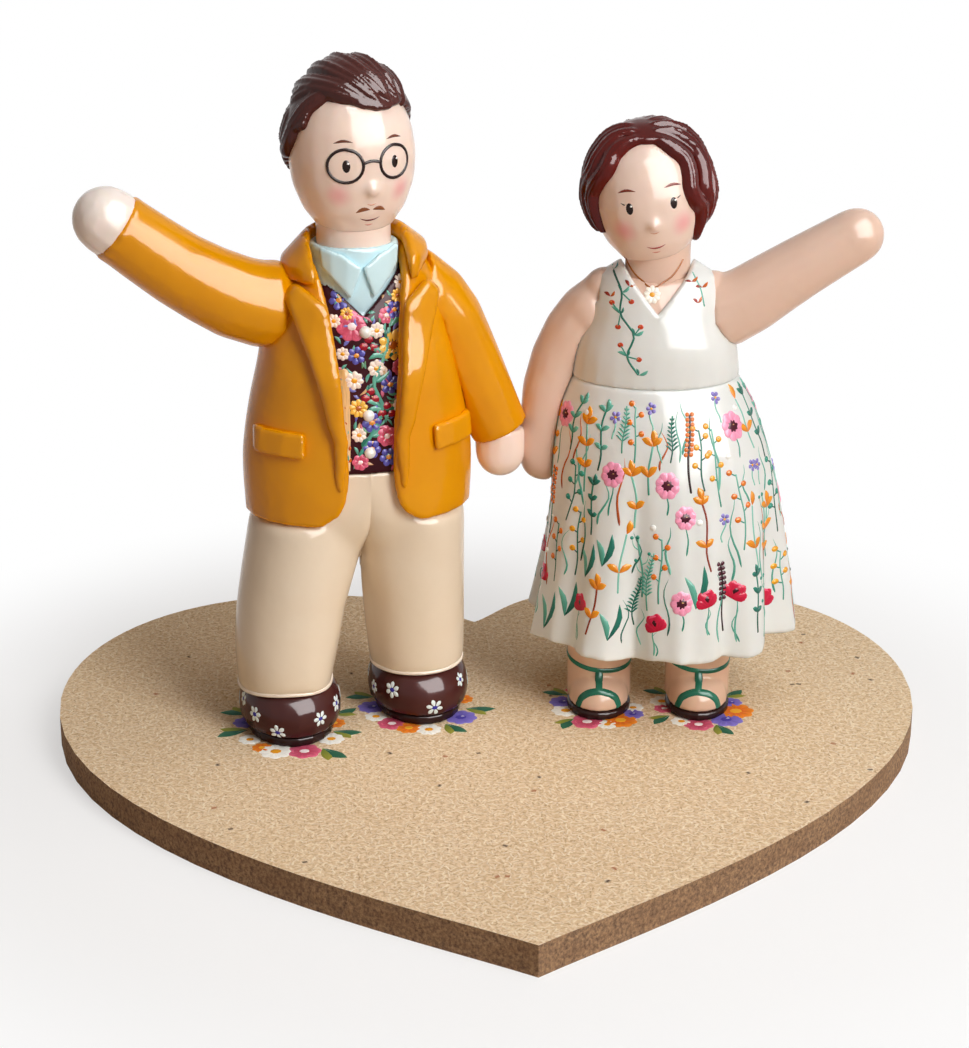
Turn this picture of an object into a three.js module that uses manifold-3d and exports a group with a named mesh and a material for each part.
// A wedding couple figurine: two glazed clay figures, hand in hand, on a heart-shaped base.
// Millimetres, Z up. The figures face -Y. The origin is under the middle of the heart.
import * as THREE from 'three';
import { mergeVertices } from 'three/addons/utils/BufferGeometryUtils.js';
import Module from 'manifold-3d';

const wasm = await Module();
wasm.setup();

// Clearance between neighbouring pieces, and how far a cutting shape runs past its work
const seam = 0.3;
const overrun = 60;

// Heart-shaped board
const heartWidth = 172;
const heartLength = 158;
const heartThickness = 6;
const heartCleftDepth = 18.5;
const heartPeakReach = 40;
const heartWidestHeight = 26.5;
const heartTipHalfAngle = 0.94;
const heartCleftHalfAngle = 0.9;
const heartCleftHandle = 9.5;
const heartPeakInnerHandle = 31;
const heartPeakOuterHandle = 26;
const heartSideUpperHandle = 30;
const heartSideLowerHandle = 56;
const heartTipHandle = 27;

// Steel leg pins, from blind holes in the board up into the legs
const pinRadius = 1.5;
const pinDepthInBoard = 4.2;

// Where each figure stands on the board, and how far it is turned
const groomPlace = { x: -25.7, y: 16, turn: 9 };
const bridePlace = { x: 31.8, y: 19, turn: -7 };

// The point between the joined hands, and the direction from the groom's hand to the bride's
const joinedHands = { x: 6.4, y: 21.4, z: 57 };
const joinedHandsTurn = 20;
const joinedHandsDip = 15;

// Groom: feet and legs
const groomSoleThickness = 1.5;
const groomShoeWidth = 20;
const groomShoeLength = 26;
const groomShoeHeight = 12;
const groomShoeSquareness = 2.7;
const groomShoeWidestHeight = 5;
const groomSoleInset = 1.7;
const groomHemHeight = 6;
const groomCrotchHeight = 36;
const groomPinTop = groomCrotchHeight - 8;
const groomWaistHeight = 54;
const groomSeatRounding = 12;
const groomRightAnkle = { x: -14.9, y: -3, rx: 9.8, ry: 11.2 };
const groomRightCalf = { x: -14.1, y: -2.4, rx: 10.8, ry: 11.8 };
const groomRightHip = { x: -10.6, y: 0, rx: 10.2, ry: 12.5 };
const groomLeftAnkle = { x: 11.5, y: 1.2, rx: 9.0, ry: 10.6 };
const groomLeftCalf = { x: 10.7, y: 0.8, rx: 9.9, ry: 11.4 };
const groomLeftHip = { x: 10.2, y: 0, rx: 10.3, ry: 12.5 };

// Groom: clothes, as layers over one body shape
const groomJacketHem = 44;
const groomJacketThickness = 2;
const groomWaistcoatThickness = 1.2;
const groomLapelThickness = 1.7;
const groomFlapThickness = 1.1;
const groomBody = [
  { rise: 0, x: 0, y: 0, rx: 21.6, ry: 15.2 },
  { rise: 10.5, x: 0, y: 0, rx: 22.1, ry: 15.2 },
  { rise: 11, x: 0, y: 0, rx: 20.5, ry: 14.3 },
  { rise: 10, x: 0, y: 0, rx: 18.1, ry: 13.1 },
  { rise: 9.5, x: 0.2, y: 0, rx: 16.3, ry: 12.0 },
  { rise: 5, x: 1.4, y: 0, rx: 13.5, ry: 10.4 },
  { rise: 3.5, x: 1.5, y: 0.2, rx: 10.5, ry: 8.8 },
  { rise: 2.7, x: 0.5, y: 0.4, rx: 6.4, ry: 6.2 },
];
const groomTop = groomJacketHem + heightOf(groomBody);

// Groom: the jacket's front opening, as half widths, and what lies round it
const groomOpeningTop = 9.0;
const groomOpeningChest = 6.6;
const groomOpeningWaist = 4.6;
const groomOpeningHem = 10.5;
const groomHemCornerHeight = 8;
const groomHemCornerReach = 1.6;
const groomLapelWidth = 7.2;
const groomLapelPointDrop = 8.9;
const groomNotchDrop = 6.8;
const groomLapelEnd = groomJacketHem + 7;
const groomLapelEndWidth = 0.5;
const groomLapelBelly = [{ rise: 12, reach: 2.6 }, { rise: 25, reach: 5.6 }];
const groomNotchReach = 2.6;
const groomWaistcoatNeckDrop = 13.4;
const groomWaistcoatShoulderDrop = 4.5;
const groomWaistcoatTuck = 2;
const groomFlapWidth = 8;
const groomFlapHeight = 4.4;
const groomFlapReach = 16.5;
const groomFlapMiddle = groomJacketHem + 16.3;
const groomFlapTilt = 3;
const groomButtonRadius = 1.05;
const groomButtonRises = [26.5, 11, 4];
const groomCollarWidth = 5.6;

// Groom: sleeves and hands. Heights start at the top of the shoulders.
const groomRightSleeve = raised(groomTop, [
  { x: -8, y: 0, z: -12.7, r: 7.6 },
  { x: -19, y: -0.6, z: -11.4, r: 8.0 },
  { x: -31, y: -1.2, z: -5.2, r: 7.1 },
  { x: -43.7, y: -1.8, z: 4.5, r: 6.4 },
]);
const groomRightHandLength = 8.2;
const groomHandInset = 0.3;
const groomHandTuck = 1;
const groomLeftUpperSleeve = raised(groomTop, [
  { x: 8.2, y: 0.8, z: -7, r: 6.2 },
  { x: 15.6, y: 0.8, z: -13.4, r: 6.9 },
  { x: 21.8, y: 0.6, z: -25.7, r: 6.4 },
]);
const groomLeftCuffRadius = 5.5;
const groomLeftCuffFromHand = { x: 0.0, y: 0.4, z: 4.5 };
const groomLeftHandRadius = 4.7;

// Groom: neck, head and hair
const groomNeck = { rx: 6.9, ry: 6.5 };
const groomNeckPeg = 7;
const groomCollarStandThickness = 1;
const groomCollarStandDrop = 0.6;
const groomCollarStandHeight = 12;
const groomWingThickness = 0.8;
const groomWingNotch = 3.6;
const groomWingPoint = 2.2;
const groomWingRise = 3.8;
const groomHead = {
  x: -0.1,
  y: -0.4,
  z: groomTop + 15.5,
  rx: 11.7,
  ry: 11.6,
  up: 15.8,
  down: 15.8,
  turn: 8,
  tilt: -2,
};
const groomHairThickness = 1.7;
const groomQuiffHeight = 0.3;
const groomHairlineFront = 9.8;
const groomHairlineBack = -8.7;
const groomHairlineTurn = 28;
const groomLockCount = 6;
const groomFirstLock = { from: { turn: -70, lift: 22 }, to: { turn: 30, lift: 50 } };
const groomLastLock = { from: { turn: -150, lift: 30 }, to: { turn: 100, lift: 30 } };
const groomLockSink = 0.1;
const groomLockRadius = 2.5;

// Bride: feet and legs
const brideSoleThickness = 1.3;
const brideSoleWidth = 12.4;
const brideSoleLength = 16;
const brideRightFoot = { x: -9.8, y: -5.2 };
const brideLeftFoot = { x: 9.8, y: -4.6 };
const brideLegRadius = 6.3;
const brideFootHeight = 6.2;
const brideAnkleSetback = 2.4;
const brideFootInset = 0.3;
const brideFootSquareness = 2.4;
// Bride: skirt, from the hem up, with soft folds that fade towards the waist
const brideHemHeight = 16;
const brideLegTop = brideHemHeight + 14;
const bridePinTop = brideLegTop - 6;
const brideSkirt = [
  { rise: 0, x: 1.8, y: 0, rx: 25.2, ry: 21.5 },
  { rise: 15, x: 2.3, y: 0, rx: 23.4, ry: 20.0 },
  { rise: 12, x: 2.1, y: 0, rx: 22.2, ry: 18.4 },
  { rise: 12, x: 1.2, y: 0, rx: 20.4, ry: 16.4 },
  { rise: 9, x: 0.3, y: 0, rx: 17.8, ry: 13.9 },
  { rise: 3.5, x: 0, y: 0, rx: 15.9, ry: 12.4 },
];
const brideWaistHeight = brideHemHeight + heightOf(brideSkirt);
const brideFoldDepth = 1.3;
const brideFoldCount = 9;
const brideLesserFoldCount = 5;
const brideFoldFade = 1.4;

// Bride: bodice over the torso, from the waist up
const brideBody = [
  { rise: 0, x: 0, y: 0, rx: 16.0, ry: 12.3 },
  { rise: 5.5, x: 0, y: 0, rx: 15.5, ry: 12.3 },
  { rise: 6, x: 0, y: 0, rx: 13.4, ry: 11.2 },
  { rise: 5, x: 0, y: 0, rx: 12.4, ry: 9.9 },
  { rise: 3.5, x: 0, y: 0, rx: 10.2, ry: 8.2 },
  { rise: 2, x: 0, y: 0, rx: 6.9, ry: 6.3 },
];
const brideBodyFoot = brideWaistHeight + seam;
const brideTop = brideBodyFoot + heightOf(brideBody);
const brideBodiceThickness = 1.1;
const brideNecklineDrop = 8.4;
const brideNecklineHalfWidth = 7.0;
const brideBackDrop = 9;
const brideScoopHalfWidth = 5;
const brideScoopDrop = 7.2;
const brideStrapReach = 10.8;
const brideArmholeDrop = 7.2;
const brideTenon = { rx: 7, ry: 5.5, depth: 5 };

// Bride: arms. Heights start at the top of the shoulders.
const brideLeftArm = raised(brideTop, [
  { x: 6, y: 0, z: -12.3, r: 6.4 },
  { x: 14.5, y: -0.4, z: -9, r: 6.7 },
  { x: 25.5, y: -0.8, z: -1.8, r: 5.9 },
  { x: 37, y: -1.2, z: 5.4, r: 5.2 },
]);
const brideRightArm = raised(brideTop, [
  { x: -7, y: 0.5, z: -5.3, r: 4.6 },
  { x: -13.5, y: 1, z: -10.8, r: 5.6 },
  { x: -19.8, y: 1.6, z: -23.3, r: 5.2 },
]);
const brideRightHandRadius = 4.4;

// Bride: neck, head and hair
const brideNeck = { rx: 6.1, ry: 5.8 };
const brideNeckPeg = 6;
const brideHead = {
  x: -2.2,
  y: -0.4,
  z: brideTop + 12.6,
  rx: 10.5,
  ry: 10.9,
  up: 13.2,
  down: 13.2,
  turn: 3,
  tilt: -8,
};
const brideHairThickness = 1.8;
const brideHairlineFront = 8.1;
const brideHairlineBack = -9.4;
const brideLockRadius = 2.7;
const brideParting = { turn: 20, lift: 62 };
const brideLockTurn = 72;
const brideLockSwell = 0.6;
const brideRightLockEnd = -24;
const brideLeftLockEnd = -34;

// How finely round things are divided
const bodySides = 24;
const skirtSides = 44;
const bodyRows = 9;
const limbSides = 14;
const limbRows = 7;
const headSides = 20;
const headRows = 10;
const smallSides = 10;
const smallRows = 6;
const boardCurveSteps = 18;

const up = new THREE.Vector3(0, 0, 1);
const radians = THREE.MathUtils.degToRad;

// A solid from a closed three.js geometry
function solid(geometry) {
  const bare = geometry.clone();
  bare.deleteAttribute('normal');
  bare.deleteAttribute('uv');
  const merged = mergeVertices(bare, 1e-4);
  return new wasm.Manifold(new wasm.Mesh({
    numProp: 3,
    vertProperties: Float32Array.from(merged.attributes.position.array),
    triVerts: Uint32Array.from(merged.index.array),
  }));
}

// A closed solid through a stack of rings, with a fan at each end
function skin(rings, bottomPole = middle(rings[0]), topPole = middle(rings.at(-1))) {
  const count = rings[0].length;
  const points = [...rings.flat(), bottomPole, topPole];
  const bottom = points.length - 2;
  const top = points.length - 1;
  const lastRing = (rings.length - 1) * count;
  const faces = [];
  for (let i = 0; i < count; i += 1) {
    const next = (i + 1) % count;
    for (let start = 0; start < lastRing; start += count) {
      faces.push(start + i, start + next, start + next + count);
      faces.push(start + i, start + next + count, start + i + count);
    }
    faces.push(bottom, next, i);
    faces.push(top, lastRing + i, lastRing + next);
  }
  return new wasm.Manifold(new wasm.Mesh({
    numProp: 3,
    vertProperties: Float32Array.from(points.flatMap((point) => point.toArray())),
    triVerts: Uint32Array.from(faces),
  }));
}

function middle(ring) {
  const sum = new THREE.Vector3();
  ring.forEach((point) => sum.add(point));
  return sum.divideScalar(ring.length);
}

// The height of a stack of levels, each given by its rise above the one before
function heightOf(levels) {
  return levels.reduce((sum, level) => sum + level.rise, 0);
}

// The stops of a limb, with their heights measured from a given height
function raised(height, stops) {
  return stops.map((stop) => ({ ...stop, z: height + stop.z }));
}

function stopAt(point, r) {
  return { x: point.x, y: point.y, z: point.z, r };
}

// The centre and half widths at any height of a stack of levels that starts at foot
function levelCurve(levels, foot) {
  let height = foot;
  const heights = levels.map((level) => {
    height += level.rise;
    return height;
  });
  const values = levels.flatMap((level) => [level.x, level.y, level.rx, level.ry]);
  const curve = new THREE.CubicInterpolant(heights, values, 4, [0, 0, 0, 0]);
  return (z) => {
    const [x, y, rx, ry] = curve.evaluate(THREE.MathUtils.clamp(z, foot, height));
    return { x, y, rx, ry };
  };
}

// An upright rounded body. Grow moves its surface out or in, and below lengthens it downwards.
function column(levels, foot, grow = 0, below = 0, fold = () => 0, sides = bodySides) {
  const height = heightOf(levels);
  const at = levelCurve(levels, foot);
  const rings = [];
  for (let i = 0; i <= bodyRows; i += 1) {
    const share = i / bodyRows;
    const level = at(foot + share * height);
    const drop = i === 0 ? below : 0;
    const z = foot + share * (height + grow) - drop;
    rings.push(ovalRing(level, grow, z, sides, (angle) => fold(angle, share)));
  }
  return skin(rings);
}

function ovalRing(level, grow, z, sides, fold = () => 0) {
  const ring = [];
  for (let i = 0; i < sides; i += 1) {
    const angle = (i / sides) * 2 * Math.PI;
    const swell = grow + fold(angle);
    ring.push(new THREE.Vector3(
      level.x + (level.rx + swell) * Math.cos(angle),
      level.y + (level.ry + swell) * Math.sin(angle),
      z,
    ));
  }
  return ring;
}

// A straight oval peg between two heights
function peg(oval, from, to, grow = 0, sides = limbSides) {
  const level = { x: 0, y: 0, ...oval };
  return skin([ovalRing(level, grow, from, sides), ovalRing(level, grow, to, sides)]);
}

// A rounded lump: an egg at squareness 2, and blunter above that
function ovoid(egg, grow = 0, sides = headSides, squareness = 2, rows = headRows) {
  const place = frameOf(egg);
  const rings = [];
  for (let i = 1; i < rows; i += 1) {
    const angle = (i / rows - 0.5) * Math.PI;
    const lift = Math.sign(angle) * Math.abs(Math.sin(angle)) ** (2 / squareness);
    const width = Math.cos(angle) ** (2 / squareness);
    const reach = angle > 0 ? egg.up : egg.down;
    const level = { x: 0, y: 0, rx: (egg.rx + grow) * width, ry: (egg.ry + grow) * width };
    rings.push(ovalRing(level, 0, (reach + grow) * lift, sides));
  }
  const bottomPole = new THREE.Vector3(0, 0, -egg.down - grow);
  const topPole = new THREE.Vector3(0, 0, egg.up + grow);
  [...rings.flat(), bottomPole, topPole].forEach((point) => point.applyMatrix4(place));
  return skin(rings, bottomPole, topPole);
}

// The frame of a turned and tilted lump, with its origin at the lump's centre
function frameOf(egg) {
  const turn = new THREE.Matrix4().makeRotationZ(radians(egg.turn ?? 0));
  const tilt = new THREE.Matrix4().makeRotationY(radians(egg.tilt ?? 0));
  return turn.multiply(tilt).setPosition(egg.x, egg.y, egg.z);
}

// A point over a head: turn 0 is the face, positive to its left, and lift 90 is the crown
function overHead(head, turn, lift, grow) {
  const across = Math.cos(radians(lift));
  return new THREE.Vector3(
    (head.rx + grow) * across * Math.sin(radians(turn)),
    -(head.ry + grow) * across * Math.cos(radians(turn)),
    (head.up + grow) * Math.sin(radians(lift)),
  ).applyMatrix4(frameOf(head));
}

// An arm, sleeve or lock of hair: a round tube whose radius follows its points.
// A round end closes in a half ball, and a flat end stops at the last point.
function limb(stops, grow = 0, roundEnd = true, sides = limbSides, steps = limbRows) {
  const path = new THREE.CatmullRomCurve3(stops.map((stop) => new THREE.Vector3(stop.x, stop.y, stop.z)));
  const radius = new THREE.CubicInterpolant(stops.map((stop, i) => i), stops.map((stop) => stop.r), 1, [0]);
  const frames = path.computeFrenetFrames(steps, false);
  const rings = [];
  const addRing = (centre, row, reach) => {
    const ring = [];
    for (let i = 0; i < sides; i += 1) {
      const angle = (i / sides) * 2 * Math.PI;
      ring.push(centre.clone()
        .addScaledVector(frames.normals[row], reach * Math.cos(angle))
        .addScaledVector(frames.binormals[row], reach * Math.sin(angle)));
    }
    rings.push(ring);
  };
  for (let row = 0; row <= steps; row += 1) {
    const reach = radius.evaluate((row / steps) * (stops.length - 1))[0] + grow;
    addRing(path.getPoint(row / steps), row, reach);
  }
  const tip = path.getPoint(1);
  const endRadius = stops.at(-1).r + grow;
  const endRows = 4;
  for (let row = 1; roundEnd && row < endRows; row += 1) {
    const angle = (row / endRows) * (Math.PI / 2);
    const centre = tip.clone().addScaledVector(frames.tangents[steps], endRadius * Math.sin(angle));
    addRing(centre, steps, endRadius * Math.cos(angle));
  }
  const topPole = tip.clone().addScaledVector(frames.tangents[steps], roundEnd ? endRadius : 0);
  return skin(rings, undefined, topPole);
}

// An outline in the front plane, across X and up Z, as a slab from one depth to another
function frontSlab(points, near, far) {
  const shape = new THREE.Shape(points.map(([x, z]) => new THREE.Vector2(x, z)));
  const geometry = new THREE.ExtrudeGeometry(shape, { depth: far - near, bevelEnabled: false });
  geometry.rotateX(Math.PI / 2);
  geometry.translate(0, far, 0);
  return solid(geometry);
}

// A block between two heights, wide enough to take in a whole figure
function layer(from, to) {
  const geometry = new THREE.BoxGeometry(2 * overrun, 2 * overrun, to - from);
  geometry.translate(0, 0, (from + to) / 2);
  return solid(geometry);
}

// Points along a smooth curve through a few stops, for outlines
function smooth(stops, divisions = 12) {
  const curve = new THREE.SplineCurve(stops.map(([x, z]) => new THREE.Vector2(x, z)));
  return curve.getPoints(divisions).map((point) => [point.x, point.y]);
}

function mirrored(points) {
  return points.map(([x, z]) => [-x, z]).reverse();
}

function piece(name, body, finish) {
  const { numProp, vertProperties, triVerts } = body.getMesh();
  const geometry = new THREE.BufferGeometry();
  geometry.setAttribute('position', new THREE.BufferAttribute(vertProperties, numProp));
  geometry.setIndex(new THREE.BufferAttribute(triVerts, 1));
  geometry.computeVertexNormals();
  const mesh = new THREE.Mesh(geometry, new THREE.MeshStandardMaterial(finish));
  mesh.name = name;
  return mesh;
}

// A figure's group, and a point of the board's frame seen from inside it
function figure(place) {
  const group = new THREE.Group();
  group.position.set(place.x, place.y, heartThickness);
  group.rotation.z = radians(place.turn);
  group.updateMatrix();
  return group;
}

function seenFrom(group, point) {
  return point.clone().applyMatrix4(group.matrix.clone().invert());
}

const glaze = { roughness: 0.18, metalness: 0 };
const finishes = {
  board: { color: 0xc8a67c, roughness: 0.85, metalness: 0 },
  steel: { color: 0xa8abad, roughness: 0.35, metalness: 1 },
  sole: { color: 0x2c1714, ...glaze },
  shoe: { color: 0x4a2c2a, ...glaze },
  trousers: { color: 0xdfcdb4, ...glaze },
  jacket: { color: 0xe59a06, ...glaze },
  waistcoat: { color: 0x4d1f26, ...glaze },
  button: { color: 0xf6f3ee, ...glaze },
  shirt: { color: 0xcfe9f0, ...glaze },
  skin: { color: 0xecc3a8, ...glaze },
  groomHair: { color: 0x43231f, ...glaze },
  brideHair: { color: 0x5a1d16, ...glaze },
  dress: { color: 0xf1f0ea, ...glaze },
};

const groomGroup = figure(groomPlace);
const brideGroup = figure(bridePlace);

// The centre of a joined hand: the hands touch at joinedHands, one radius to each side of it
function joinedHandCentre(group, radius, side) {
  const across = Math.cos(radians(joinedHandsDip));
  const direction = new THREE.Vector3(
    across * Math.cos(radians(joinedHandsTurn)),
    across * Math.sin(radians(joinedHandsTurn)),
    -Math.sin(radians(joinedHandsDip)),
  );
  const meeting = new THREE.Vector3(joinedHands.x, joinedHands.y, joinedHands.z);
  return seenFrom(group, meeting.addScaledVector(direction, side * (radius + seam / 2)));
}

// The same stops of a limb, seen from the other figure's group
function carried(stops, from, to) {
  return stops.map((stop) => {
    const spot = seenFrom(to, new THREE.Vector3(stop.x, stop.y, stop.z).applyMatrix4(from.matrix));
    return stopAt(spot, stop.r);
  });
}

// Leg pins stand straight up from the board
const groomPins = {
  right: { ...groomRightAnkle, rx: pinRadius, ry: pinRadius },
  left: { ...groomLeftAnkle, rx: pinRadius, ry: pinRadius },
};
const bridePins = {
  right: { x: brideRightFoot.x, y: brideRightFoot.y + brideAnkleSetback, rx: pinRadius, ry: pinRadius },
  left: { x: brideLeftFoot.x, y: brideLeftFoot.y + brideAnkleSetback, rx: pinRadius, ry: pinRadius },
};

function pin(place, topHeight, grow = 0) {
  return peg(place, -pinDepthInBoard - grow, topHeight + grow, grow, smallSides);
}

function heartShape() {
  const topEdge = heartLength / 2;
  const cleft = new THREE.Vector2(0, topEdge - heartCleftDepth);
  const peak = new THREE.Vector2(heartPeakReach, topEdge);
  const wide = new THREE.Vector2(heartWidth / 2, heartWidestHeight);
  const tip = new THREE.Vector2(0, -topEdge);
  const cleftHandle = new THREE.Vector2(Math.sin(heartCleftHalfAngle), Math.cos(heartCleftHalfAngle))
    .multiplyScalar(heartCleftHandle).add(cleft);
  const tipHandle = new THREE.Vector2(Math.sin(heartTipHalfAngle), Math.cos(heartTipHalfAngle))
    .multiplyScalar(heartTipHandle).add(tip);
  const inner = peak.x - heartPeakInnerHandle;
  const outer = peak.x + heartPeakOuterHandle;
  const above = wide.y + heartSideUpperHandle;
  const below = wide.y - heartSideLowerHandle;
  const shape = new THREE.Shape();
  shape.moveTo(cleft.x, cleft.y);
  shape.bezierCurveTo(cleftHandle.x, cleftHandle.y, inner, peak.y, peak.x, peak.y);
  shape.bezierCurveTo(outer, peak.y, wide.x, above, wide.x, wide.y);
  shape.bezierCurveTo(wide.x, below, tipHandle.x, tipHandle.y, tip.x, tip.y);
  shape.bezierCurveTo(-tipHandle.x, tipHandle.y, -wide.x, below, -wide.x, wide.y);
  shape.bezierCurveTo(-wide.x, above, -outer, peak.y, -peak.x, peak.y);
  shape.bezierCurveTo(-inner, peak.y, -cleftHandle.x, cleftHandle.y, cleft.x, cleft.y);
  return shape;
}

function heartBase() {
  const board = new THREE.ExtrudeGeometry(heartShape(), {
    depth: heartThickness,
    bevelEnabled: false,
    curveSegments: boardCurveSteps,
  });
  let body = solid(board);
  const drill = (group, place) => {
    const spot = new THREE.Vector3(place.x, place.y, 0).applyMatrix4(group.matrix);
    const bottom = heartThickness - pinDepthInBoard - seam;
    const hole = { x: spot.x, y: spot.y, rx: pinRadius, ry: pinRadius };
    body = body.subtract(peg(hole, bottom, heartThickness + overrun, seam, smallSides));
  };
  Object.values(groomPins).forEach((place) => drill(groomGroup, place));
  Object.values(bridePins).forEach((place) => drill(brideGroup, place));
  return piece('heart_base', body, finishes.board);
}

function groomFoot(side, ankle) {
  const group = new THREE.Group();
  const place = groomPins[side];
  const soleTop = seam + groomSoleThickness;
  const shoeEgg = {
    x: ankle.x,
    y: ankle.y,
    z: groomShoeWidestHeight,
    rx: groomShoeWidth / 2,
    ry: groomShoeLength / 2,
    up: groomShoeHeight - groomShoeWidestHeight,
    down: groomShoeWidestHeight,
  };
  const shaped = (grow) => ovoid(shoeEgg, grow, headSides, groomShoeSquareness);
  const shoe = shaped(0)
    .intersect(layer(soleTop + seam, overrun))
    .subtract(pin(place, groomPinTop, seam));
  const soleOval = {
    x: ankle.x,
    y: ankle.y,
    rx: groomShoeWidth / 2 - groomSoleInset,
    ry: groomShoeLength / 2 - groomSoleInset,
  };
  const sole = peg(soleOval, seam, soleTop, 0, headSides).subtract(pin(place, groomPinTop, seam));
  group.add(piece(`groom_${side}_sole`, sole, finishes.sole));
  group.add(piece(`groom_${side}_shoe`, shoe, finishes.shoe));
  group.add(piece(`groom_${side}_leg_pin`, pin(place, groomPinTop), finishes.steel));
  return { group, shoeWithSeam: shaped(seam) };
}

const groomBodyAt = levelCurve(groomBody, groomJacketHem);
const groomLining = -groomJacketThickness - seam;
const groomShirtFace = groomLining - groomWaistcoatThickness - seam;

function groomTorso(grow, below = 0) {
  return column(groomBody, groomJacketHem, grow, below);
}

function groomTrousers(feet) {
  const hipHeight = groomJacketHem;
  const calfHeight = (groomHemHeight + groomCrotchHeight) / 2;
  const leg = (ankle, calf, hip) => column([
    { rise: 0, ...ankle },
    { rise: calfHeight - groomHemHeight, ...calf },
    { rise: hipHeight - calfHeight, ...hip },
  ], groomHemHeight);
  const seatCurve = groomJacketHem - groomCrotchHeight;
  const fitted = (height) => {
    const level = groomBodyAt(height);
    const inset = groomLining - seam;
    return { x: level.x, y: level.y, rx: level.rx + inset, ry: level.ry + inset };
  };
  const waistRise = (groomWaistHeight - seam - groomJacketHem) / 2;
  const hips = fitted(hipHeight);
  const seat = column([
    { rise: 0, ...hips, rx: hips.rx - groomSeatRounding, ry: hips.ry - groomSeatRounding / 2 },
    {
      rise: seatCurve / 2,
      ...hips,
      rx: hips.rx - groomSeatRounding / 3,
      ry: hips.ry - groomSeatRounding / 6,
    },
    { rise: seatCurve / 2, ...hips },
    { rise: waistRise, ...fitted(groomJacketHem + waistRise) },
    { rise: waistRise, ...fitted(groomWaistHeight) },
  ], groomCrotchHeight);
  let body = leg(groomRightAnkle, groomRightCalf, groomRightHip)
    .add(leg(groomLeftAnkle, groomLeftCalf, groomLeftHip))
    .intersect(layer(0, groomJacketHem - seam))
    .add(seat);
  feet.forEach((foot) => {
    body = body.subtract(foot.shoeWithSeam);
  });
  body = body.subtract(pin(groomPins.right, groomPinTop, seam));
  body = body.subtract(pin(groomPins.left, groomPinTop, seam));
  return piece('groom_trousers', body, finishes.trousers);
}

// The jacket's front edge on the groom's left, from the neck down to its rounded corner
function openingEdge() {
  return smooth([
    [groomOpeningTop, groomTop],
    [groomOpeningChest, groomTop - groomWaistcoatNeckDrop],
    [groomOpeningWaist, groomLapelEnd + groomHemCornerHeight],
    [groomOpeningWaist, groomJacketHem + groomHemCornerHeight],
    [groomOpeningWaist + groomHemCornerReach, groomJacketHem + groomHemCornerHeight / 3],
    [groomOpeningHem, groomJacketHem - seam],
  ], 18);
}

function groomNeckHole(grow) {
  const reach = groomCollarStandThickness + 2 * seam + grow;
  return peg(groomNeck, groomJacketHem + overrun / 2, groomTop + overrun, reach, headSides);
}

function groomJacket() {
  const edge = openingEdge();
  const opening = [[edge[0][0], groomTop + overrun], ...edge];
  const front = frontSlab([...opening, ...mirrored(opening)], -overrun, 0);
  const body = groomTorso(0)
    .subtract(groomTorso(-groomJacketThickness, overrun))
    .subtract(front)
    .subtract(groomNeckHole(0));
  return piece('groom_jacket', body, finishes.jacket);
}

// A patch of one more layer over the groom's body, cut to an outline seen from the front
function frontPatch(inner, outer, points) {
  return groomTorso(outer).subtract(groomTorso(inner, overrun)).intersect(frontSlab(points, -overrun, 0));
}

function groomWaistcoat() {
  const halfWidth = groomOpeningTop + groomWaistcoatTuck;
  const neckPoint = [0, groomTop - groomWaistcoatNeckDrop];
  const shoulder = [groomOpeningTop - seam, groomTop - groomWaistcoatShoulderDrop];
  const outline = [
    neckPoint,
    shoulder,
    [halfWidth, shoulder[1]],
    [halfWidth, groomWaistHeight],
    [-halfWidth, groomWaistHeight],
    [-halfWidth, shoulder[1]],
    [-shoulder[0], shoulder[1]],
  ];
  const body = frontPatch(groomShirtFace + seam, groomLining, outline).subtract(groomNeckHole(0));
  return piece('groom_waistcoat', body, finishes.waistcoat);
}

function groomButtons() {
  const group = new THREE.Group();
  groomButtonRises.forEach((rise, index) => {
    const height = groomWaistHeight + rise;
    const level = groomBodyAt(height);
    const ball = {
      x: level.x,
      y: level.y - level.ry - groomLining,
      z: height,
      rx: groomButtonRadius,
      ry: groomButtonRadius,
      up: groomButtonRadius,
      down: groomButtonRadius,
    };
    const body = ovoid(ball, 0, smallSides, 2, smallRows).subtract(groomTorso(groomLining + seam));
    group.add(piece(`groom_waistcoat_button_${index + 1}`, body, finishes.button));
  });
  return group;
}

// The lapel on the groom's left: along the front edge, out to its point, and down in a taper
function lapelOutline() {
  const inner = openingEdge().filter(([, z]) => z > groomLapelEnd && z < groomTop - groomNotchDrop);
  const notch = [groomOpeningTop + groomNotchReach, groomTop - groomNotchDrop];
  const point = [groomOpeningChest + groomLapelWidth, groomTop - groomLapelPointDrop];
  const outer = smooth([
    [groomOpeningWaist + groomLapelEndWidth, groomLapelEnd],
    ...groomLapelBelly.map(({ rise, reach }) => [groomOpeningWaist + reach, groomLapelEnd + rise]),
    point,
  ], 10);
  return [...inner.reverse(), notch, ...outer.reverse()];
}

function groomLapels() {
  const group = new THREE.Group();
  const outline = lapelOutline();
  const sides = { left: outline, right: mirrored(outline) };
  Object.entries(sides).forEach(([side, points]) => {
    const body = frontPatch(seam, seam + groomLapelThickness, points);
    group.add(piece(`groom_${side}_lapel`, body, finishes.jacket));
  });
  return group;
}

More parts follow.
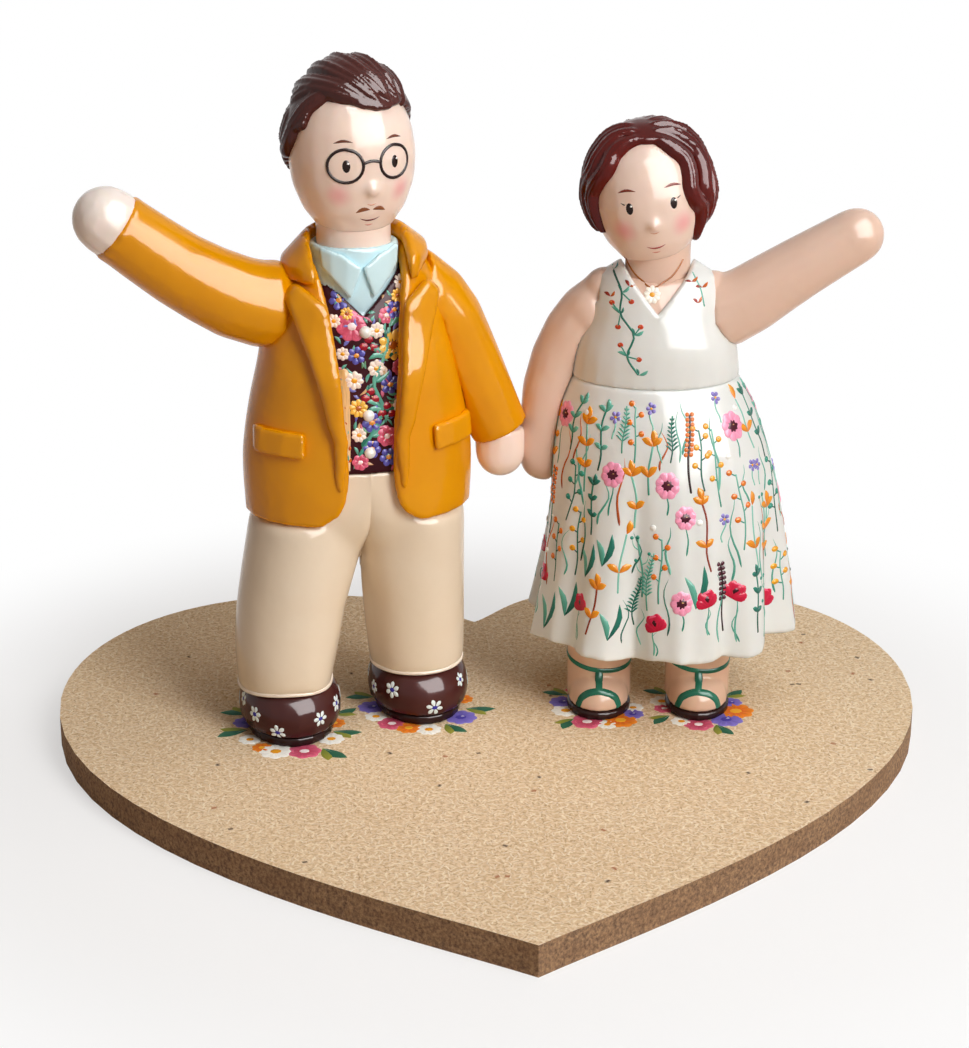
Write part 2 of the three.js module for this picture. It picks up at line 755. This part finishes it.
// The jacket's collar lies round the back and sides of the neck, down to the lapels' notches
function groomCollar() {
  const reach = groomCollarStandThickness + groomCollarWidth;
  const outline = peg(groomNeck, groomJacketHem, groomTop + overrun, reach, headSides);
  const floor = groomTop - groomNotchDrop + seam;
  const frontCut = [
    [groomOpeningTop, groomTop + overrun],
    [groomOpeningTop, floor],
    [-groomOpeningTop, floor],
    [-groomOpeningTop, groomTop + overrun],
  ];
  const body = groomTorso(seam + groomLapelThickness)
    .subtract(groomTorso(seam, overrun))
    .intersect(outline)
    .intersect(layer(floor, groomTop + overrun))
    .subtract(frontSlab(frontCut, -overrun, 0))
    .subtract(groomNeckHole(0))
    .subtract(ovoid(groomHead, seam));
  return piece('groom_jacket_collar', body, finishes.jacket);
}

function groomPocketFlaps() {
  const group = new THREE.Group();
  const tilt = radians(groomFlapTilt);
  [-1, 1].forEach((side) => {
    const corners = [[-1, -1], [1, -1], [1, 1], [-1, 1]].map(([across, upward]) => {
      const x = (across * groomFlapWidth) / 2;
      const z = (upward * groomFlapHeight) / 2;
      return [
        side * groomFlapReach + x * Math.cos(tilt) - side * z * Math.sin(tilt),
        groomFlapMiddle + side * x * Math.sin(tilt) + z * Math.cos(tilt),
      ];
    });
    const body = frontPatch(seam, seam + groomFlapThickness, corners);
    group.add(piece(`groom_${side < 0 ? 'right' : 'left'}_pocket_flap`, body, finishes.jacket));
  });
  return group;
}

// The shirt's outside: the chest, and a low stand round the neck
function groomShirtShape(grow) {
  const standFoot = groomTop - groomCollarStandHeight;
  const standTop = groomTop - groomCollarStandDrop + grow;
  const standReach = groomCollarStandThickness + seam + grow;
  return groomTorso(groomShirtFace + grow).add(peg(groomNeck, standFoot, standTop, standReach, headSides));
}

function groomShirt() {
  const body = groomShirtShape(0)
    .intersect(layer(groomWaistHeight, overrun * 2))
    .subtract(groomNeckPegSolid(seam))
    .subtract(ovoid(groomHead, seam));
  return piece('groom_shirt', body, finishes.shirt);
}

// Two pointed collar wings lie on the shirt under the chin
function groomShirtCollarWings() {
  const group = new THREE.Group();
  const top = groomTop - groomCollarStandDrop;
  const outline = [
    [seam, top - groomWingNotch],
    [groomWingPoint, groomTop - groomWaistcoatNeckDrop + groomWingRise],
    [groomNeck.rx, top - groomWingNotch],
    [groomNeck.rx + seam, top],
    [groomNeck.rx / 2, top - groomWingNotch / 3],
  ];
  const sides = { left: outline, right: mirrored(outline) };
  Object.entries(sides).forEach(([side, points]) => {
    const body = groomShirtShape(seam + groomWingThickness)
      .subtract(groomShirtShape(seam))
      .intersect(frontSlab(points, -overrun, 0))
      .subtract(ovoid(groomHead, seam));
    group.add(piece(`groom_${side}_shirt_collar_wing`, body, finishes.shirt));
  });
  return group;
}

function groomNeckPegSolid(grow = 0) {
  const headTenon = groomHead.z - groomHead.down + groomNeckPeg;
  return peg(groomNeck, groomTop - groomNeckPeg - grow, headTenon + grow, grow, headSides);
}

// Everything of the jacket that a sleeve butts against, opened out by the seam
function groomJacketOutside() {
  const raised = groomTorso(2 * seam + groomLapelThickness);
  const lapelReach = groomOpeningChest + groomLapelWidth + seam;
  const lapelFloor = groomTop - groomLapelPointDrop - overrun;
  const lapelZone = frontSlab([
    [-lapelReach, lapelFloor],
    [lapelReach, lapelFloor],
    [lapelReach, groomTop],
    [-lapelReach, groomTop],
  ], -overrun, 0);
  const collarReach = groomCollarStandThickness + groomCollarWidth + seam;
  const collarZone = peg(groomNeck, groomTop - groomNotchDrop, groomTop + overrun, collarReach, headSides);
  return groomTorso(seam).add(raised.intersect(lapelZone.add(collarZone)));
}

const groomLeftHandCentre = joinedHandCentre(groomGroup, groomLeftHandRadius, -1);
const groomLeftCuff = new THREE.Vector3(
  groomLeftHandCentre.x + groomLeftCuffFromHand.x,
  groomLeftHandCentre.y + groomLeftCuffFromHand.y,
  groomLeftHandCentre.z + groomLeftCuffFromHand.z,
);
const groomLeftSleeve = [...groomLeftUpperSleeve, stopAt(groomLeftCuff, groomLeftCuffRadius)];
const groomLeftHandStops = [
  stopAt(groomLeftCuff, groomLeftHandRadius),
  stopAt(groomLeftHandCentre, groomLeftHandRadius),
];

function groomSleevesAndHands() {
  const group = new THREE.Group();
  const outside = groomJacketOutside();
  const rightSleeve = limb(groomRightSleeve, 0, false).subtract(outside);
  const leftSleeve = limb(groomLeftSleeve, 0, false).subtract(outside);
  const cuffTip = groomRightSleeve.at(-1);
  const direction = new THREE.Vector3(cuffTip.x, cuffTip.y, cuffTip.z)
    .sub(new THREE.Vector3(groomRightSleeve.at(-2).x, groomRightSleeve.at(-2).y, groomRightSleeve.at(-2).z))
    .normalize();
  const handStop = (distance, r) => stopAt(
    new THREE.Vector3(cuffTip.x, cuffTip.y, cuffTip.z).addScaledVector(direction, distance),
    r,
  );
  const palm = cuffTip.r - groomHandInset;
  const rightHandStops = [handStop(-groomHandTuck, palm), handStop(groomRightHandLength - palm, palm)];
  const rightHand = limb(rightHandStops).subtract(limb(groomRightSleeve, seam, false));
  const leftHand = limb(groomLeftHandStops).subtract(limb(groomLeftSleeve, seam, false));
  group.add(piece('groom_right_sleeve', rightSleeve, finishes.jacket));
  group.add(piece('groom_left_sleeve', leftSleeve, finishes.jacket));
  group.add(piece('groom_right_hand', rightHand, finishes.skin));
  group.add(piece('groom_left_hand', leftHand, finishes.skin));
  return group;
}

// The part of a head that hair covers: behind a line that falls from the forehead to the nape
function hairZone(head, front, back, turn = 0, grow = 0) {
  const slope = (back - front) / (2 * head.ry);
  const lineAt = (y) => front + slope * (y + head.ry) - grow;
  const outline = new THREE.Shape([
    new THREE.Vector2(-overrun, lineAt(-overrun)),
    new THREE.Vector2(overrun, lineAt(overrun)),
    new THREE.Vector2(overrun, 2 * overrun),
    new THREE.Vector2(-overrun, 2 * overrun),
  ]);
  const geometry = new THREE.ExtrudeGeometry(outline, { depth: 2 * overrun, bevelEnabled: false });
  geometry.translate(0, 0, -overrun);
  const acrossY = new THREE.Vector3(0, 1, 0);
  const acrossX = new THREE.Vector3(1, 0, 0);
  geometry.applyMatrix4(new THREE.Matrix4().makeBasis(acrossY, up, acrossX));
  geometry.rotateZ(radians(turn));
  geometry.applyMatrix4(frameOf(head));
  return solid(geometry);
}

// How thick a lock of hair is at its ends, as a share of its middle
const lockEndShare = 0.55;

// A lock of hair over a head, from one direction to another, each given as turn and lift
function lockOver(head, from, to, radius, grow, swell) {
  const count = 5;
  const stops = [];
  for (let i = 0; i < count; i += 1) {
    const share = i / (count - 1);
    const arch = Math.sin(share * Math.PI);
    const start = overHead(head, from.turn, from.lift, grow).multiplyScalar(1 - share);
    const finish = overHead(head, to.turn, to.lift, grow).multiplyScalar(share);
    const centre = new THREE.Vector3(head.x, head.y, head.z);
    const chord = start.add(finish).sub(centre);
    const squashed = Math.hypot(chord.x, chord.y, chord.z * (head.rx / head.up));
    const spot = chord.multiplyScalar((head.rx + grow + swell * arch) / squashed).add(centre);
    const r = radius * THREE.MathUtils.lerp(lockEndShare, 1, arch);
    stops.push({ x: spot.x, y: spot.y, z: spot.z, r });
  }
  return limb(stops, 0, true, smallSides, smallRows);
}

function groomHeadAndHair() {
  const group = new THREE.Group();
  const head = ovoid(groomHead).subtract(groomNeckPegSolid(seam));
  let hair = ovoid({ ...groomHead, up: groomHead.up + groomQuiffHeight }, groomHairThickness)
    .intersect(hairZone(groomHead, groomHairlineFront, groomHairlineBack, groomHairlineTurn));
  for (let i = 0; i < groomLockCount; i += 1) {
    const share = i / (groomLockCount - 1);
    const between = (end) => ({
      turn: THREE.MathUtils.lerp(groomFirstLock[end].turn, groomLastLock[end].turn, share),
      lift: THREE.MathUtils.lerp(groomFirstLock[end].lift, groomLastLock[end].lift, share),
    });
    hair = hair.add(
      lockOver(groomHead, between('from'), between('to'), groomLockRadius, groomLockSink, groomQuiffHeight),
    );
  }
  hair = hair.subtract(ovoid(groomHead, seam));
  group.add(piece('groom_neck', groomNeckPegSolid(), finishes.skin));
  group.add(piece('groom_head', head, finishes.skin));
  group.add(piece('groom_hair', hair, finishes.groomHair));
  return group;
}

function brideFoot(side, foot) {
  const group = new THREE.Group();
  const place = bridePins[side];
  const soleTop = seam + brideSoleThickness;
  const ankle = { x: foot.x, y: foot.y + brideAnkleSetback, rx: brideLegRadius, ry: brideLegRadius };
  const footEgg = {
    x: foot.x,
    y: foot.y,
    z: soleTop + seam,
    rx: brideSoleWidth / 2 - brideFootInset,
    ry: brideSoleLength / 2 - brideFootInset,
    up: brideFootHeight,
    down: brideFootHeight,
  };
  const shaped = (grow) => ovoid(footEgg, grow, headSides, brideFootSquareness)
    .intersect(layer(soleTop + seam - grow, overrun))
    .add(peg(ankle, soleTop + seam - grow, brideLegTop + grow, grow, headSides));
  const soleOval = { ...foot, rx: brideSoleWidth / 2, ry: brideSoleLength / 2 };
  const sole = peg(soleOval, seam, soleTop, 0, headSides).subtract(pin(place, bridePinTop, seam));
  const leg = shaped(0).subtract(pin(place, bridePinTop, seam));
  group.add(piece(`bride_${side}_sole`, sole, finishes.sole));
  group.add(piece(`bride_${side}_leg`, leg, finishes.skin));
  group.add(piece(`bride_${side}_leg_pin`, pin(place, bridePinTop), finishes.steel));
  return { group, legWithSeam: shaped(seam) };
}

const brideTorsoFace = -brideBodiceThickness - seam;

function brideTorsoShape(grow, below = 0) {
  return column(brideBody, brideBodyFoot, grow, below);
}

// The skirt's folds are deepest at the hem and gone at the waist
function skirtFold(angle, share) {
  const depth = brideFoldDepth * Math.max(0, 1 - share * brideFoldFade);
  return depth * (Math.cos(brideFoldCount * angle) + Math.cos(brideLesserFoldCount * angle) / 2);
}

function brideSkirtShape(grow) {
  return column(brideSkirt, brideHemHeight, grow, grow, skirtFold, skirtSides);
}

function brideSkirtPiece(feet) {
  let body = brideSkirtShape(0);
  feet.forEach((foot) => {
    body = body.subtract(foot.legWithSeam);
  });
  const socket = peg(brideTenon, brideWaistHeight - brideTenon.depth, brideWaistHeight + overrun, seam);
  return piece('bride_skirt', body.subtract(socket), finishes.dress);
}

function brideNeckSolid(grow = 0) {
  const headTenon = brideHead.z - brideHead.down + brideNeckPeg;
  return peg(brideNeck, brideTop - brideNeckPeg - grow, headTenon + grow, grow, headSides);
}

function brideTorso() {
  const tenonFoot = brideWaistHeight - brideTenon.depth + seam;
  const tenon = peg(brideTenon, tenonFoot, brideBodyFoot + brideTenon.depth);
  const body = brideTorsoShape(brideTorsoFace).add(tenon).subtract(brideNeckSolid(seam));
  return piece('bride_torso', body, finishes.skin);
}

// The bodice has a V neck in front, a scoop at the back and a strap over each shoulder
function brideBodice() {
  const front = frontSlab([
    [0, brideTop - brideNecklineDrop],
    [brideNecklineHalfWidth, brideTop],
    [brideNecklineHalfWidth, brideTop + overrun],
    [-brideNecklineHalfWidth, brideTop + overrun],
    [-brideNecklineHalfWidth, brideTop],
  ], -overrun, 0);
  const scoop = smooth([
    [-brideNecklineHalfWidth, brideTop],
    [-brideScoopHalfWidth, brideTop - brideScoopDrop],
    [0, brideTop - brideBackDrop],
    [brideScoopHalfWidth, brideTop - brideScoopDrop],
    [brideNecklineHalfWidth, brideTop],
  ]);
  const back = frontSlab([
    ...scoop,
    [brideNecklineHalfWidth, brideTop + overrun],
    [-brideNecklineHalfWidth, brideTop + overrun],
  ], 0, overrun);
  const armhole = [
    [brideStrapReach, brideTop - brideArmholeDrop],
    [overrun, brideTop - brideArmholeDrop],
    [overrun, brideTop + overrun],
    [brideStrapReach, brideTop + overrun],
  ];
  const body = brideTorsoShape(0)
    .subtract(brideTorsoShape(-brideBodiceThickness, overrun))
    .subtract(front)
    .subtract(back)
    .subtract(frontSlab(armhole, -overrun, overrun))
    .subtract(frontSlab(mirrored(armhole), -overrun, overrun))
    .subtract(brideNeckSolid(seam));
  return piece('bride_bodice', body, finishes.dress);
}

function brideArms() {
  const group = new THREE.Group();
  const handCentre = joinedHandCentre(brideGroup, brideRightHandRadius, 1);
  const rightArm = limb([...brideRightArm, stopAt(handCentre, brideRightHandRadius)]);
  const dress = brideTorsoShape(seam).add(brideSkirtShape(seam));
  const groomArm = limb(carried(groomLeftHandStops, groomGroup, brideGroup), seam)
    .add(limb(carried(groomLeftSleeve, groomGroup, brideGroup), seam, false));
  group.add(piece('bride_right_arm', rightArm.subtract(dress).subtract(groomArm), finishes.skin));
  group.add(piece('bride_left_arm', limb(brideLeftArm).subtract(dress), finishes.skin));
  return group;
}

function brideHeadAndHair() {
  const group = new THREE.Group();
  const bare = ovoid(brideHead, seam);
  const cap = ovoid(brideHead, brideHairThickness)
    .intersect(hairZone(brideHead, brideHairlineFront, brideHairlineBack))
    .subtract(bare);
  const capWithSeam = ovoid(brideHead, brideHairThickness + seam)
    .intersect(hairZone(brideHead, brideHairlineFront, brideHairlineBack, 0, seam));
  const locks = {
    right: { turn: -brideLockTurn, lift: brideRightLockEnd },
    left: { turn: brideLockTurn, lift: brideLeftLockEnd },
  };
  group.add(piece('bride_neck', brideNeckSolid(), finishes.skin));
  group.add(piece('bride_head', ovoid(brideHead).subtract(brideNeckSolid(seam)), finishes.skin));
  group.add(piece('bride_hair_cap', cap, finishes.brideHair));
  Object.entries(locks).forEach(([side, end]) => {
    const parting = { ...brideParting, turn: Math.sign(end.turn) * brideParting.turn };
    const lock = lockOver(brideHead, parting, end, brideLockRadius, brideHairThickness / 2, brideLockSwell)
      .subtract(bare)
      .subtract(capWithSeam);
    group.add(piece(`bride_${side}_hair_lock`, lock, finishes.brideHair));
  });
  return group;
}

const root = new THREE.Group();
const groomFeet = [groomFoot('right', groomRightAnkle), groomFoot('left', groomLeftAnkle)];
const brideFeet = [brideFoot('right', brideRightFoot), brideFoot('left', brideLeftFoot)];
root.add(heartBase(), groomGroup, brideGroup);
groomGroup.add(
  ...groomFeet.map((foot) => foot.group),
  groomTrousers(groomFeet),
  groomShirt(),
  groomShirtCollarWings(),
  groomWaistcoat(),
  groomButtons(),
  groomJacket(),
  groomCollar(),
  groomLapels(),
  groomPocketFlaps(),
  groomSleevesAndHands(),
  groomHeadAndHair(),
);
brideGroup.add(
  ...brideFeet.map((foot) => foot.group),
  brideSkirtPiece(brideFeet),
  brideTorso(),
  brideBodice(),
  brideArms(),
  brideHeadAndHair(),
);

export default root;
